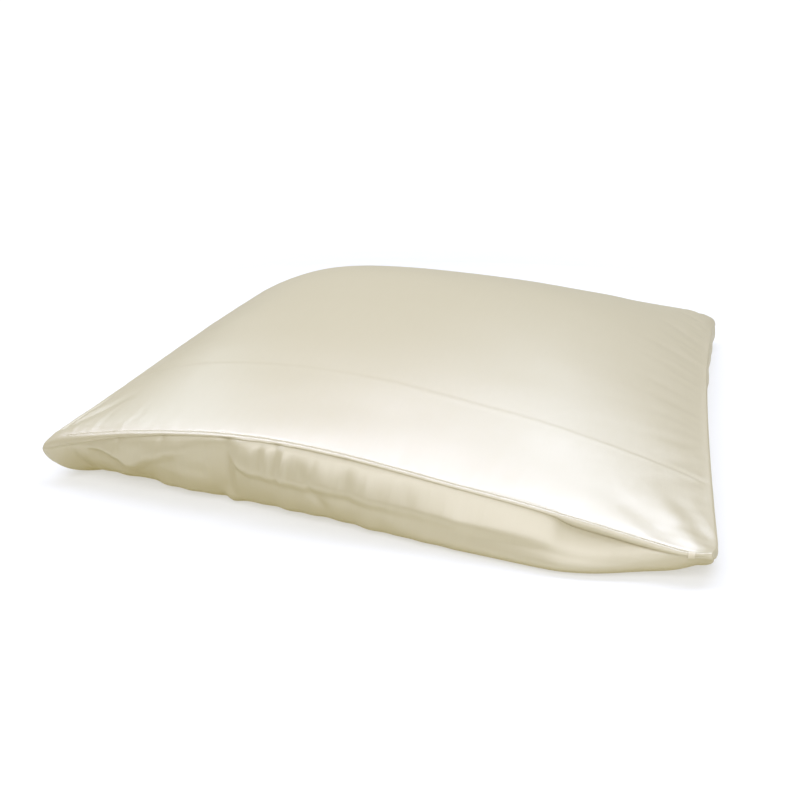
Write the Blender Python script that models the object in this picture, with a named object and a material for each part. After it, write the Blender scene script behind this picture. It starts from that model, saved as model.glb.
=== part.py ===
"""A satin pillowcase drawn over a bed pillow, lying on its back on a surface.

One closed solid. The mouth edge faces -Y, the closed end faces +Y, and +Z is up. All sizes are in
metres. The solid is made of two grids that share the seam around the rim: an upper sheet with the
crown, and an under sheet that falls from the seam as a wall and lies flat on the surface.

Two numbers place a point on a sheet: across runs from -1 at the left rim to 1 at the right rim, and
along runs from -1 at the mouth edge to 1 at the closed end.
"""

from collections import namedtuple
from math import copysign, cos, exp, hypot, pi, sin, sqrt

import bmesh
import bpy

# The filled case, corner tip to corner tip, and how far the crown stands over the seams.
WIDTH = 0.500
LENGTH = 0.630
CROWN_HEIGHT = 0.0238

# Each edge of the rim: how far its middle is drawn in, how far the seam rises there, how flat that
# rise is, how far its highest point leans towards -1, and how steeply the crown starts from it.
Edge = namedtuple("Edge", "drawn_in rise rise_power lean crown_power")
MOUTH = Edge(0.0013, 0.0349, 1.85, 0.21, 2.2)
CLOSED_END = Edge(0.0135, 0.0219, 4.4, 0.20, 2.0)
LEFT = Edge(0.0049, 0.0497, 1.36, -0.10, 4.2)
RIGHT = Edge(0.0111, 0.0228, 2.0, -0.28, 2.15)
DRAW_IN_POWER = 1.6
# How softly a bowed edge turns over in its middle, as a share of half its length.
BOW_ROUNDING = 0.12

# Each corner: the seam's height there, the radius that rounds its tip in plan, how far the filling
# puffs the upper sheet up just inside the tip, and how far the tip itself turns up.
Corner = namedtuple("Corner", "across along height radius puff lift")
CORNERS = (
    Corner(-1, -1, 0.0278, 0.0035, 0.0115, 0.0),
    Corner(1, -1, 0.0154, 0.0145, 0.0020, 0.0036),
    Corner(-1, 1, 0.0275, 0.0140, 0.0120, 0.0),
    Corner(1, 1, 0.0242, 0.0120, 0.0195, 0.0),
)
PUFF_START = 0.007
PUFF_REACH = 0.060
LIFT_REACH = 0.016

# The mouth edge and the wall below it, read from left to right: how far the edge sags below its bow,
# how far the wall's foot lies inside the seam, the share of that which waits for the lower part like a
# hanging nose, how far the wall bulges out on the way down, how far it stands out under the hem like a
# brow, and how deep the slot under the hem's lip is.
Station = namedtuple("Station", "across sag foot nose bulge brow undercut")
MOUTH_WALL = (
    Station(-1.00, 0.0000, 0.0265, 0.4, 0.003, 0.0000, 0.0000),
    Station(-0.86, 0.0012, 0.0310, 0.25, 0.003, 0.0010, 0.0008),
    Station(-0.60, 0.0024, 0.0205, 0.0, 0.004, 0.0024, 0.0010),
    Station(-0.36, 0.0021, 0.0138, 0.0, 0.004, 0.0034, 0.0010),
    Station(-0.20, 0.0019, 0.0106, 0.0, 0.004, 0.0076, 0.0010),
    Station(0.05, 0.0024, 0.0020, 0.0, 0.004, 0.0066, 0.0010),
    Station(0.30, 0.0028, -0.0092, 0.0, 0.004, 0.0030, 0.0010),
    Station(0.50, 0.0014, -0.0146, 0.0, 0.004, 0.0016, 0.0012),
    Station(0.59, 0.0010, -0.0163, 0.0, 0.004, 0.0016, 0.0016),
    Station(0.72, 0.0008, -0.0112, 0.0, 0.004, 0.0016, 0.0040),
    Station(0.84, 0.0006, 0.0028, 0.0, 0.003, 0.0010, 0.0040),
    Station(0.93, 0.0003, 0.0066, 0.0, 0.003, 0.0000, 0.0024),
    Station(1.00, 0.0000, 0.0250, 0.4, 0.002, 0.0000, 0.0000),
)
# How fast the sag fades towards the closed end, as a power.
SAG_POWER = 2
# The power that sets how high up the brow stands out most.
BROW_POWER = 0.6
FOOT_RADIUS = 0.009
# The other three walls: foot and bulge in the middle of the edge, and how much further in the foot
# lies at a corner.
SIDE_FOOT = 0.014
SIDE_BULGE = 0.004
CORNER_FOOT = 0.027

# The hem is a turned and stitched strip along the mouth edge of the upper sheet.
HEM_WIDTH = 0.004
HEM_GROOVE = 0.0010
GROOVE_SPREAD = 0.0020
SEAM_PINCH = 0.0012

# Rings of the under sheet that make the lip and its slot: drop below the seam, where it stands at
# least FULL_LIP_HEIGHT high, share of the undercut, and share of the plain seam's pinch.
Ring = namedtuple("Ring", "drop undercut pinch")
HEM_RINGS = (
    Ring(0.0000, 0.0, 0.0),
    Ring(0.0026, 0.1, 0.8),
    Ring(0.0034, 1.0, 1.0),
    Ring(0.0080, 0.9, 0.5),
)
FULL_LIP_HEIGHT = 0.05
WALL_RINGS = 8

# Upright gathers on the mouth wall: place, half width, and depth, where a minus is a hollow.
Gather = namedtuple("Gather", "across width depth")
GATHERS = (
    Gather(-0.60, 0.014, -0.0024),
    Gather(-0.47, 0.014, 0.0020),
    Gather(-0.34, 0.012, -0.0034),
    Gather(-0.25, 0.013, 0.0018),
    Gather(-0.11, 0.012, -0.0010),
    Gather(-0.03, 0.014, 0.0010),
)
# The long soft crease that runs level across the mouth wall, not quite halfway down.
CREASE_FROM, CREASE_TO = -0.30, 0.92
CREASE_FADE = 0.2
CREASE_AT = 0.32
CREASE_SPREAD = 0.15
CREASE_DEPTH = 0.0034
# The foot of the wall ripples where the gathers reach the surface.
RIPPLE_PITCH = 0.034
RIPPLE_DEPTH = 0.0012

# Folds of the upper sheet, each along a straight line in plan: its ends, half width and height,
# where a minus is a hollow.
Fold = namedtuple("Fold", "start end width height")
FOLDS = (
    Fold((0.236, -0.302), (0.196, -0.238), 0.009, 0.0016),
    Fold((0.246, -0.300), (0.216, -0.245), 0.008, -0.0016),
    Fold((0.222, -0.304), (0.165, -0.262), 0.010, -0.0008),
    Fold((-0.240, -0.300), (-0.232, -0.215), 0.005, -0.0030),
    Fold((-0.236, -0.304), (-0.196, -0.250), 0.008, -0.0020),
    Fold((0.240, 0.306), (0.200, 0.256), 0.009, -0.0024),
    Fold((-0.240, 0.306), (-0.200, 0.256), 0.009, -0.0024),
)

# The grid: segments each way, and how far its lines crowd towards the rim.
SEGMENTS = 48
CROWDING = 0.86

IVORY = (0.80, 0.75, 0.60, 1.0)


def crowded(place):
    """Moves an even place from -1 to 1 so that neighbours lie closer near the ends."""
    quarter = CROWDING * pi / 2
    return sin(place * quarter) / sin(quarter)


def blend(low, high, place):
    """A smooth step from 0 at low to 1 at high."""
    share = min(1.0, max(0.0, (place - low) / (high - low)))
    return share * share * (3 - 2 * share)


def bow(place, power):
    """1 in the middle of an edge and 0 at its ends, turning over softly in the middle."""
    low, high = BOW_ROUNDING**power, (1 + BOW_ROUNDING**2) ** (power / 2)
    return 1 - ((place**2 + BOW_ROUNDING**2) ** (power / 2) - low) / (high - low)


def leaned(place, lean):
    """Shifts the middle of an edge towards -1 and leaves its ends."""
    return max(-1.0, min(1.0, place + lean * (1 - place * place)))


def wall_station(across):
    """The mouth wall's values at a place: a cubic curve through the table's rows."""
    last = len(MOUTH_WALL) - 1
    right = next(row for row in range(1, last + 1) if across <= MOUTH_WALL[row].across or row == last)
    rows = [MOUTH_WALL[max(0, min(last, row))] for row in range(right - 2, right + 2)]
    span = rows[2].across - rows[1].across
    share = (across - rows[1].across) / span
    values = [across]
    for column in range(1, len(Station._fields)):
        before, start, end, after = (row[column] for row in rows)
        leave = span * (end - before) / (rows[2].across - rows[0].across)
        arrive = span * (after - start) / (rows[3].across - rows[1].across)
        value = start + leave * share * (1 - share) ** 2 - arrive * (1 - share) * share**2
        values.append(value + (end - start) * share * share * (3 - 2 * share))
    return Station(*values)


def seam_rise(edge, place):
    """How far an edge's seam rises over its corners."""
    return edge.rise * bow(leaned(place, edge.lean), edge.rise_power)


def seam_base(across, along):
    """Height of a sheet stretched between the seams, before the crown."""
    height = sum(
        corner.height * (1 + corner.across * across) * (1 + corner.along * along) / 4
        for corner in CORNERS
    )
    height += (1 - along) / 2 * seam_rise(MOUTH, across)
    height -= ((1 - along) / 2) ** SAG_POWER * wall_station(across).sag
    height += (1 + along) / 2 * seam_rise(CLOSED_END, across)
    height += (1 - across) / 2 * seam_rise(LEFT, along)
    height += (1 + across) / 2 * seam_rise(RIGHT, along)
    return height


def corner_puff(across, along):
    """Height that the filling adds just inside the corner tips, and the turned-up tips."""
    height = 0.0
    for corner in CORNERS:
        side = (1 - corner.across * across) * WIDTH / 2
        end = (1 - corner.along * along) * LENGTH / 2
        rise = (1 - exp(-side / PUFF_START)) * (1 - exp(-end / PUFF_START))
        height += corner.puff * rise * exp(-(side + end) / PUFF_REACH)
        height += corner.lift * exp(-(((side + end) / LIFT_REACH) ** 2))
    return height


def fold_height(x, y):
    """Height of the upper sheet's folds: a bell across each fold that fades along it."""
    height = 0.0
    for fold in FOLDS:
        run = (fold.end[0] - fold.start[0], fold.end[1] - fold.start[1])
        length = hypot(*run)
        ahead = ((x - fold.start[0]) * run[0] + (y - fold.start[1]) * run[1]) / length
        aside = ((x - fold.start[0]) * run[1] - (y - fold.start[1]) * run[0]) / length
        along_fold = blend(-fold.width, fold.width, ahead) * (1 - blend(0.4 * length, length, ahead))
        height += fold.height * along_fold * exp(-((aside / fold.width) ** 2))
    return height


def hem_groove(along):
    """Depth of the stitched groove that parts the hem from the panel."""
    inward = (1 + along) * LENGTH / 2
    return HEM_GROOVE * exp(-(((inward - HEM_WIDTH) / GROOVE_SPREAD) ** 2))


def plan_point(across, along):
    """Plan position on either sheet: edges drawn in, corner tips rounded."""
    side, end = (LEFT if across < 0 else RIGHT), (MOUTH if along < 0 else CLOSED_END)
    x = across * (WIDTH / 2 - side.drawn_in * bow(along, DRAW_IN_POWER))
    y = along * (LENGTH / 2 - end.drawn_in * bow(across, DRAW_IN_POWER))
    for corner in CORNERS:
        to_tip = (1 - corner.across * across) * WIDTH / 2 + (1 - corner.along * along) * LENGTH / 2
        pull = 0.3 * corner.radius * exp(-((to_tip / corner.radius) ** 2))
        x -= corner.across * pull
        y -= corner.along * pull
    return x, y


def upper_point(across, along):
    """A point of the upper sheet. On the rim it is the seam."""
    x, y = plan_point(across, along)
    inside_sides = bow(across, (LEFT if across < 0 else RIGHT).crown_power)
    inside_ends = bow(along, (MOUTH if along < 0 else CLOSED_END).crown_power)
    inside = blend(0.0, 0.03, min(1 - abs(across), 1 - abs(along)))
    height = seam_base(across, along) + CROWN_HEIGHT * inside_sides * inside_ends
    height += corner_puff(across, along) + inside * fold_height(x, y)
    return x, y, height - hem_groove(along) * inside


def mouth_relief(across, down):
    """How far gathers and crease push the mouth wall out, down from 0 at the hem to 1 at the foot."""
    fall = sin(pi * min(1.0, down)) ** 0.7 if down < 1 else 0.0
    relief = sum(
        gather.depth * exp(-(((across - gather.across) * WIDTH / 2 / gather.width) ** 2))
        for gather in GATHERS
    )
    middle = blend(CREASE_FROM, CREASE_FROM + CREASE_FADE, across)
    middle *= 1 - blend(CREASE_TO - CREASE_FADE, CREASE_TO, across)
    crease = middle * CREASE_DEPTH * exp(-(((down - CREASE_AT) / CREASE_SPREAD) ** 2))
    return fall * relief - crease


def foot_ripple(across):
    """Ripple of the mouth wall's foot, over its left half."""
    fade = blend(-0.95, -0.75, across) * (1 - blend(0.1, 0.35, across))
    return fade * RIPPLE_DEPTH * sin(2 * pi * across * WIDTH / 2 / RIPPLE_PITCH)


def foot_curl(height, seam_height):
    """How far the wall turns under above the surface: a quarter circle of the foot's radius."""
    radius = min(FOOT_RADIUS, seam_height / 2)
    return radius - sqrt(radius**2 - max(0.0, radius - height) ** 2)


def wall_ring(rim_across, rim_along, seam_height, ring):
    """Sideways and endways distance inside the seam, and the height, of a point on a wall ring."""
    station = wall_station(rim_across)
    near = blend(0.9, 1.0, -rim_along)
    hem = HEM_RINGS[min(ring, len(HEM_RINGS) - 1)]
    down = max(0, ring - len(HEM_RINGS) + 1) / WALL_RINGS
    turn = pi / 2 * min(1.0, down)
    lip = hem.drop * min(1.0, seam_height / FULL_LIP_HEIGHT)
    height = (seam_height - lip) * (1 - sin(turn))
    slot = near * hem.undercut * station.undercut + (1 - near) * hem.pinch * SEAM_PINCH
    bulge = (near * station.bulge + (1 - near) * SIDE_BULGE) * sin(2 * turn)
    brow = station.brow * sin(pi * min(1.0, down) ** BROW_POWER)
    relief = near * (mouth_relief(rim_across, down) + brow) if ring else 0.0
    plain = (SIDE_FOOT + CORNER_FOOT * (rim_across * rim_along) ** 4) * (1 - cos(turn))
    inset = station.nose * (1 - cos(turn)) + (1 - station.nose) * sin(turn)
    mouth = (station.foot - foot_ripple(rim_across)) * inset + foot_curl(height, seam_height)
    sideways = slot * cos(turn) + plain - bulge
    endways = slot * cos(turn) + near * (mouth - relief) + (1 - near) * plain - bulge
    return sideways * abs(rim_across) ** 6, endways * abs(rim_along) ** 6, height


def under_point(place_across, place_along):
    """A point of the under sheet: rings of wall from the seam to the foot, flat inside the foot."""
    reach = max(abs(place_across), abs(place_along))
    if reach == 0:
        return 0.0, 0.0, 0.0
    foot_ring = len(HEM_RINGS) - 1 + WALL_RINGS
    ring = min(foot_ring, round((1 - reach) * SEGMENTS / 2))
    across, along = crowded(place_across / reach), crowded(place_along / reach)
    x, y, seam_height = upper_point(across, along)
    sideways, endways, height = wall_ring(across, along, seam_height, ring)
    x -= copysign(1, across) * sideways
    y -= copysign(1, along) * endways
    if ring < foot_ring:
        return x, y, height
    inward = reach / (1 - 2 * foot_ring / SEGMENTS)
    return x * inward, y * inward, 0.0


def add_sheet(mesh, place_point):
    """Adds an even grid from -1 to 1 and moves each point to its place."""
    grid = bmesh.ops.create_grid(mesh, x_segments=SEGMENTS, y_segments=SEGMENTS, size=1)
    for vertex in grid["verts"]:
        vertex.co = place_point(vertex.co.x, vertex.co.y)
    return grid["verts"]


def centre_on_origin(mesh):
    """Moves the solid so that its box is centred over the origin, with its lowest face at zero."""
    spans = [[vertex.co[axis] for vertex in mesh.verts] for axis in range(3)]
    middle = [(min(span) + max(span)) / 2 for span in spans[:2]] + [min(spans[2])]
    bmesh.ops.translate(mesh, verts=mesh.verts, vec=[-value for value in middle])


def satin():
    """Ivory satin."""
    material = bpy.data.materials.new("ivory_satin")
    material.use_nodes = True
    shader = material.node_tree.nodes["Principled BSDF"]
    shader.inputs["Base Color"].default_value = IVORY
    shader.inputs["Roughness"].default_value = 0.35
    shader.inputs["Metallic"].default_value = 0.0
    material.diffuse_color = IVORY
    return material


def filled_case(collection):
    """The filled case as one closed solid with its underside flat."""
    mesh = bmesh.new()
    add_sheet(mesh, lambda a, b: upper_point(crowded(a), crowded(b)))
    below = add_sheet(mesh, under_point)
    under_faces = {face for vertex in below for face in vertex.link_faces}
    bmesh.ops.reverse_faces(mesh, faces=list(under_faces))
    bmesh.ops.remove_doubles(mesh, verts=mesh.verts, dist=1e-6)
    flat = [face for face in mesh.faces if all(vertex.co.z == 0.0 for vertex in face.verts)]
    bmesh.ops.dissolve_faces(mesh, faces=flat, use_verts=True)
    centre_on_origin(mesh)
    data = bpy.data.meshes.new("filled_case")
    mesh.to_mesh(data)
    mesh.free()
    for polygon in data.polygons:
        polygon.use_smooth = True
    data.materials.append(satin())
    piece = bpy.data.objects.new("filled_case", data)
    collection.objects.link(piece)
    return piece


def main():
    for old in list(bpy.data.objects):
        bpy.data.objects.remove(old, do_unlink=True)
    collection = bpy.data.collections.new("pillowcase")
    bpy.context.scene.collection.children.link(collection)
    filled_case(collection)


main()
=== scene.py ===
"""A satin pillowcase drawn over a bed pillow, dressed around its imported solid.

The mouth edge faces -Y, the closed end +Y, +Z is up, and sizes are in metres. The case is one closed
surface: an upper sheet with the crown, a wall around the rim and a flat underside. Two numbers place a
point on the sheet: across runs from -1 at the left rim to 1 at the right, and along from -1 at the
mouth edge to 1 at the closed end. Every shape is a function of these two, for a whole grid at once.
"""

from collections import namedtuple

import bpy
import numpy as np
from mathutils import Matrix, Vector


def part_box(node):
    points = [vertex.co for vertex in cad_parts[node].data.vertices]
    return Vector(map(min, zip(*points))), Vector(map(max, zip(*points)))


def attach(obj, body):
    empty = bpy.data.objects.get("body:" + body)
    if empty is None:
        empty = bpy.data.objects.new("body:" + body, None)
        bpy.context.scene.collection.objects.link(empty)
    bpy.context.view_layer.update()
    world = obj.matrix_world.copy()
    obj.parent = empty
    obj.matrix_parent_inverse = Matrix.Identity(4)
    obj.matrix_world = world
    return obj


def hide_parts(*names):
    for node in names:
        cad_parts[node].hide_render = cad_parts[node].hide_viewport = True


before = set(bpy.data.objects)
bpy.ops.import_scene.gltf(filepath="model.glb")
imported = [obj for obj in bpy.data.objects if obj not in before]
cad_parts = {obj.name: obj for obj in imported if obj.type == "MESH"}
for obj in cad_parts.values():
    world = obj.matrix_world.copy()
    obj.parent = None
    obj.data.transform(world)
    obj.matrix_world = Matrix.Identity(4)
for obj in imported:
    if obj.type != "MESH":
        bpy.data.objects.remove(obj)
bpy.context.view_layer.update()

# The filled case, corner tip to corner tip, and how far the crown stands over the seams.
WIDTH = 0.500
LENGTH = 0.630
CROWN_HEIGHT = 0.0238

# Each edge of the rim: how far its middle is drawn in, how far the seam rises there, how flat that
# rise is, how far its highest point leans towards -1, and how steeply the crown starts from it.
Edge = namedtuple("Edge", "drawn_in rise rise_power lean crown_power")
MOUTH = Edge(0.0013, 0.0349, 1.85, 0.21, 2.2)
CLOSED_END = Edge(0.0135, 0.0219, 4.4, 0.20, 2.0)
LEFT = Edge(0.0049, 0.0497, 1.36, -0.10, 4.2)
RIGHT = Edge(0.0111, 0.0228, 2.0, -0.28, 2.15)
DRAW_IN_POWER = 1.6
# How softly a bowed edge turns over in its middle, as a share of half its length.
BOW_ROUNDING = 0.12

# Each corner: the seam's height, the radius that rounds its tip in plan, how far the filling puffs the
# sheet up just inside the tip, and how far the tip turns up.
Corner = namedtuple("Corner", "across along height radius puff lift")
CORNERS = (
    Corner(-1, -1, 0.0278, 0.0035, 0.0115, 0.0),
    Corner(1, -1, 0.0154, 0.0145, 0.0020, 0.0036),
    Corner(-1, 1, 0.0275, 0.0140, 0.0120, 0.0),
    Corner(1, 1, 0.0242, 0.0120, 0.0195, 0.0),
)
PUFF_START = 0.007
PUFF_REACH = 0.060
LIFT_REACH = 0.016
# How far a corner's tip is pulled in from each side, as a share of its radius.
CORNER_PULL = 0.3

# The mouth edge and the wall below it, read from left to right: how far the edge sags below its bow,
# how far the foot lies inside the seam, the share of that which waits for the lower part like a nose,
# how far the wall bulges, how far it stands out under the hem like a brow, how far it is set back right
# under the hem, the gap that opens there, how far the hem's edge rolls down, and how open the hem is.
Station = namedtuple("Station", "across sag foot nose bulge brow setback gap roll open")
MOUTH_WALL = [Station(*row) for row in (
    (-1.00, 0.0000, 0.0265, 0.40, 0.003, 0.0000, 0.0000, 0.0002, 0.0000, 0.0),
    (-0.86, 0.0012, 0.0310, 0.25, 0.003, 0.0022, 0.0001, 0.0000, 0.0000, 0.2),
    (-0.60, 0.0024, 0.0205, 0.00, 0.004, 0.0058, 0.0002, 0.0000, 0.0000, 0.9),
    (-0.36, 0.0021, 0.0138, 0.00, 0.004, 0.0050, 0.0002, 0.0000, 0.0000, 1.0),
    (-0.20, 0.0019, 0.0106, 0.00, 0.004, 0.0076, 0.0002, 0.0000, 0.0000, 1.0),
    (0.05, 0.0024, 0.0020, 0.00, 0.004, 0.0066, 0.0002, 0.0000, 0.0000, 1.0),
    (0.30, 0.0028, -0.0092, 0.00, 0.004, 0.0022, 0.0002, 0.0000, 0.0000, 1.0),
    (0.50, 0.0014, -0.0146, 0.00, 0.004, 0.0016, 0.0002, 0.0000, 0.0000, 1.0),
    (0.59, 0.0010, -0.0163, 0.00, 0.004, 0.0016, 0.0003, 0.0000, 0.0002, 1.0),
    (0.64, 0.0009, -0.0158, 0.00, 0.004, 0.0016, 0.0010, 0.0001, 0.0015, 1.0),
    (0.72, 0.0008, -0.0106, 0.00, 0.004, 0.0016, 0.0016, 0.0003, 0.0014, 1.0),
    (0.84, 0.0006, 0.0022, 0.00, 0.003, 0.0010, 0.0016, 0.0003, 0.0010, 1.0),
    (0.93, 0.0003, 0.0118, 0.00, 0.003, 0.0000, 0.0008, 0.0001, 0.0003, 0.8),
    (1.00, 0.0000, 0.0250, 0.40, 0.002, 0.0000, 0.0000, 0.0002, 0.0000, 0.0),
)]
# The powers by which the sag fades, the setback closes and the brow lies high.
SAG_POWER, SETBACK_POWER, BROW_POWER = 2, 7, 0.6
FOOT_RADIUS = 0.009
# Where the side walls start to turn into the mouth wall, counted towards the mouth.
MOUTH_WALL_FROM = 0.90
# The other three walls: foot and bulge in mid-edge, the foot's further depth at a corner, and waves.
SIDE_FOOT = 0.014
SIDE_BULGE = 0.004
CORNER_FOOT = 0.027
SIDE_WAVE_LENGTHS = (0.043, 0.067, 0.101)
SIDE_WAVE_DEPTH = 0.0016
SIDE_WAVE_POWER = 1.2

# The hem, a turned and stitched strip along the mouth edge: its width, rise and step, the radius of its
# folded edge, the stitching's groove, and how far from the side seams the strip and its edge start.
HEM_WIDTH = 0.0040
HEM_RISE = 0.0003
HEM_STEP = 0.0015
HEM_RADIUS = 0.0006
HEM_GROOVE = 0.0004
GROOVE_SPREAD = 0.0008
HEM_START = 0.006
HEM_EDGE_START = 0.004
# Closed seams: the radius that rounds both panels into the seam line, its depth and its drop.
SEAM_RADIUS = 0.0020
SEAM_PINCH = 0.0013
SEAM_DROP = 0.0044
# The share of the seam line that is lost at the very corners.
SEAM_FADE = 0.9
# Powers that keep to the corners: the further foot, the lost seam line and the turn of the way out.
CORNER_FOOT_POWER, SEAM_FADE_POWER, OUTWARD_POWER = 4, 8, 6
# A seam lower than this has less of its hem or seam line, in proportion.
LOW_SEAM = 0.020

# Rings over the edge, with their shares: of the setback, the fold's radius and the gap below an open
# hem, and of the pinch and the drop below a closed seam.
Ring = namedtuple("Ring", "setback radius_in radius_down gap pinch drop")
EDGE_RINGS = [Ring(*row) for row in (
    (0.00, 0.00, 0.00, 0.0, 0.00, 0.00),
    (0.00, 0.12, 0.71, 0.0, 0.06, 0.18),
    (0.00, 0.45, 1.05, 0.0, 0.36, 0.36),
    (0.50, 0.40, 1.15, 0.0, 0.92, 0.52),
    (0.92, 0.22, 1.12, 0.1, 1.00, 0.62),
    (1.00, 0.10, 1.16, 0.5, 0.78, 0.76),
    (0.99, 0.00, 1.25, 1.0, 0.42, 1.00),
)]
WALL_RINGS = 46
# Rings of the underside, as shares of the foot ring's distance from the middle.
UNDER_RINGS = (0.97, 0.91, 0.80, 0.63, 0.41, 0.19)

# Upright gathers of the mouth wall: place, slant on the way down, half width, depth, where a minus is a
# hollow, and the part of the way down that they cover, which may pass the hem or the foot.
Gather = namedtuple("Gather", "across slant width depth top bottom")
GATHERS = [Gather(*row) for row in (
    (-0.950, 0.00, 0.0085, 0.0042, -0.15, 0.95),
    (-0.890, 0.04, 0.0050, -0.0016, -0.10, 0.80),
    (-0.850, 0.10, 0.0060, 0.0010, 0.00, 0.60),
    (-0.702, -0.04, 0.0022, -0.0008, -0.20, 0.30),
    (-0.600, -0.10, 0.0140, -0.0026, 0.25, 1.20),
    (-0.546, -0.01, 0.0024, -0.0008, -0.20, 0.32),
    (-0.470, -0.04, 0.0140, 0.0020, 0.05, 0.95),
    (-0.340, 0.00, 0.0055, -0.0030, -0.15, 0.75),
    (-0.330, 0.00, 0.0140, -0.0022, 0.10, 1.00),
    (-0.352, 0.00, 0.0055, 0.0060, 0.50, 1.50),
    (-0.045, 0.00, 0.0100, -0.0040, 0.50, 1.50),
    (-0.270, 0.00, 0.0080, 0.0016, -0.10, 0.34),
    (-0.226, 0.00, 0.0028, -0.0012, 0.00, 0.36),
    (-0.203, 0.00, 0.0030, 0.0012, -0.10, 0.40),
    (-0.178, 0.00, 0.0030, -0.0014, -0.10, 0.38),
    (-0.152, 0.00, 0.0032, 0.0014, -0.10, 0.42),
    (-0.118, 0.18, 0.0036, -0.0014, 0.05, 0.60),
    (-0.030, 0.04, 0.0060, 0.0010, 0.00, 0.50),
    (0.030, 0.05, 0.0040, -0.0008, -0.10, 0.45),
    (0.100, 0.03, 0.0040, 0.0005, 0.00, 0.45),
    (0.205, 0.06, 0.0040, -0.0006, 0.00, 0.50),
    (0.330, 0.05, 0.0080, 0.0007, 0.00, 0.60),
)]
# The power of the cosine on which a gather rises and falls.
GATHER_POWER = 1.4
# Level folds of the mouth wall, read from left to right: how far down the line lies, how far the cloth
# above it stands out over the cloth below it, and how soft that edge is.
Shelf = namedtuple("Shelf", "across down depth edge")
SHELVES = [[Shelf(*row) for row in rows] for rows in (
    (
        (-0.840, 0.020, 0.0000, 0.045),
        (-0.790, 0.090, 0.0036, 0.045),
        (-0.755, 0.150, 0.0054, 0.045),
        (-0.715, 0.240, 0.0064, 0.050),
        (-0.690, 0.350, 0.0064, 0.055),
        (-0.665, 0.370, 0.0060, 0.060),
        (-0.611, 0.270, 0.0054, 0.070),
        (-0.545, 0.200, 0.0044, 0.075),
        (-0.479, 0.140, 0.0026, 0.075),
        (-0.420, 0.110, 0.0000, 0.080),
    ),
    (
        (-0.330, 0.140, 0.0000, 0.060),
        (-0.305, 0.200, 0.0034, 0.045),
        (-0.275, 0.265, 0.0048, 0.050),
        (-0.200, 0.285, 0.0046, 0.055),
        (-0.100, 0.300, 0.0046, 0.060),
        (0.010, 0.285, 0.0044, 0.065),
        (0.085, 0.310, 0.0042, 0.070),
        (0.190, 0.320, 0.0036, 0.080),
        (0.345, 0.330, 0.0034, 0.090),
        (0.445, 0.320, 0.0026, 0.100),
        (0.544, 0.290, 0.0020, 0.110),
        (0.700, 0.260, 0.0008, 0.120),
        (0.860, 0.240, 0.0000, 0.120),
    ),
)]
# A fold grows with the share of the way to its line: the power, the last share and the shortest way.
SHELF_POWER, SHELF_SHARE_MOST, SHELF_WAY_LEAST = 1.3, 1.2, 0.02
# Short creases of the mouth wall, each along a straight line of places: ends, half width and height,
# where a minus is a hollow.
Fold = namedtuple("Fold", "start end width height")
CREASES = [Fold(*row) for row in (
    ((-0.790, 0.14), (-0.722, 0.42), 0.0060, -0.0032),
    ((-0.700, 0.46), (-0.672, 0.62), 0.0040, -0.0014),
    ((-0.546, 0.28), (-0.410, 0.34), 0.0040, -0.0010),
    ((-0.620, 0.44), (-0.470, 0.52), 0.0070, -0.0012),
    ((-0.430, 0.55), (-0.345, 0.86), 0.0050, -0.0010),
    ((-0.250, 0.50), (-0.180, 0.80), 0.0060, -0.0008),
    ((-0.060, 0.45), (0.020, 0.70), 0.0060, -0.0008),
    ((0.090, 0.50), (0.200, 0.72), 0.0070, -0.0007),
)]
# The length of the way down the wall, by which the creases are measured.
WALL_SPAN = 0.050
# Fine puckers that hang from the hem: pitches, height, reach down and lean across, the places between
# which they start and those between which they calm down, and the share that they then lose.
HEM_PUCKER_PITCHES = (0.0062, 0.0089, 0.0131)
HEM_PUCKER_HEIGHT = 0.00045
HEM_PUCKER_REACH = 0.16
HEM_PUCKER_LEAN = 0.05
HEM_PUCKERS_START = (-0.97, -0.85)
HEM_PUCKERS_CALM = (0.25, 0.60)
HEM_PUCKER_LOSS = 0.75
# Ripple of the mouth wall's foot: pitches, depth, and the places between which it starts and ends.
RIPPLE_PITCHES = (0.0213, 0.0347, 0.0562)
RIPPLE_DEPTH = 0.0017
RIPPLE_START = (-0.95, -0.75)
RIPPLE_END = (0.15, 0.45)

# Folds of the upper sheet, the same way along straight lines in plan.
FOLDS = [Fold(*row) for row in (
    ((0.236, -0.302), (0.196, -0.238), 0.009, 0.0007),
    ((0.247, -0.300), (0.216, -0.240), 0.008, -0.0008),
    ((0.222, -0.304), (0.165, -0.262), 0.010, -0.0006),
    ((-0.240, -0.300), (-0.232, -0.215), 0.004, -0.0026),
    ((-0.236, -0.304), (-0.196, -0.250), 0.006, -0.0016),
    ((0.240, 0.306), (0.200, 0.256), 0.008, -0.0024),
    ((0.232, 0.310), (0.170, 0.282), 0.006, -0.0014),
    ((0.246, 0.300), (0.224, 0.232), 0.005, -0.0014),
    ((-0.240, 0.306), (-0.200, 0.256), 0.008, -0.0024),
    ((-0.232, 0.310), (-0.176, 0.286), 0.006, -0.0014),
    ((-0.246, 0.300), (-0.228, 0.236), 0.005, -0.0014),
)]
# The share of its length from which a fold fades, and how far from the rim folds and swells start.
FOLD_FADE_FROM = 0.4
RELIEF_START = 0.008

# The inner flap's edge shows as a faint step and ridge: its distance from the mouth edge, its bow, their
# heights and softness, and where they start from the mouth and from the side seams.
FLAP_DEPTH = 0.100
FLAP_BOW = -0.004
FLAP_STEP = 0.00012
FLAP_RIDGE = 0.00011
FLAP_SOFTNESS = 0.0016
FLAP_FROM_MOUTH = (0.002, 0.020)
FLAP_FROM_SIDE = 0.020

# Seam puckers: pitches, height, reach into the cloth, and the share that an open hem loses.
PUCKER_PITCHES = (0.0093, 0.0141, 0.0237, 0.0391)
PUCKER_HEIGHT = 0.00032
PUCKER_REACH = 0.012
PUCKER_LOSS = 0.6
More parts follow.
